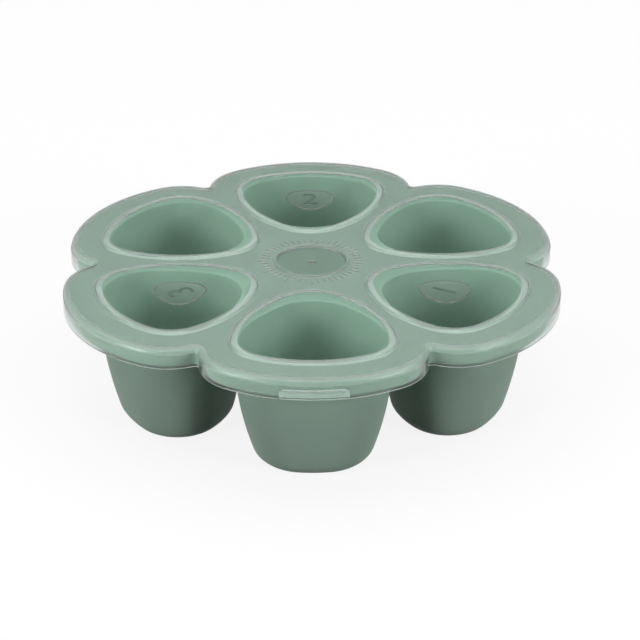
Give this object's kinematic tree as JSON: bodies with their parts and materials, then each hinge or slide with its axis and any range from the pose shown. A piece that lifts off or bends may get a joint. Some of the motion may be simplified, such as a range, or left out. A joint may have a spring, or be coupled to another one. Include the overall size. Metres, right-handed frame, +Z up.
{
  "type": "portion freezing tray",
  "caption": "Lobed silicone freezer tray of rounded three-sided cups hanging from a flat deck, with a translucent lift-off lid with raised windows.",
  "frame": {"origin": "on the standing plane, below the middle of the tray", "axes": "+Z up, -Y towards the front cup, +X to the right"},
  "size_m": [0.2036, 0.215, 0.0566],
  "materials": {
    "silicone": "matte silicone, muted sage green",
    "lid_plastic": "frosted translucent polypropylene with a soft gloss"
  },
  "bodies": {
    "tray": {"tray_deck": "silicone", "cup_front": "silicone", "cup_front_right": "silicone", "cup_back_right": "silicone", "cup_back": "silicone", "cup_back_left": "silicone", "cup_front_left": "silicone"},
    "lid": {"lid": "lid_plastic"}
  },
  "joints": [
    {"name": "lid_lift", "type": "slide", "parent": "tray", "child": "lid", "axis": [0, 0, 1], "range_m": [0, 0.08]}
  ]
}
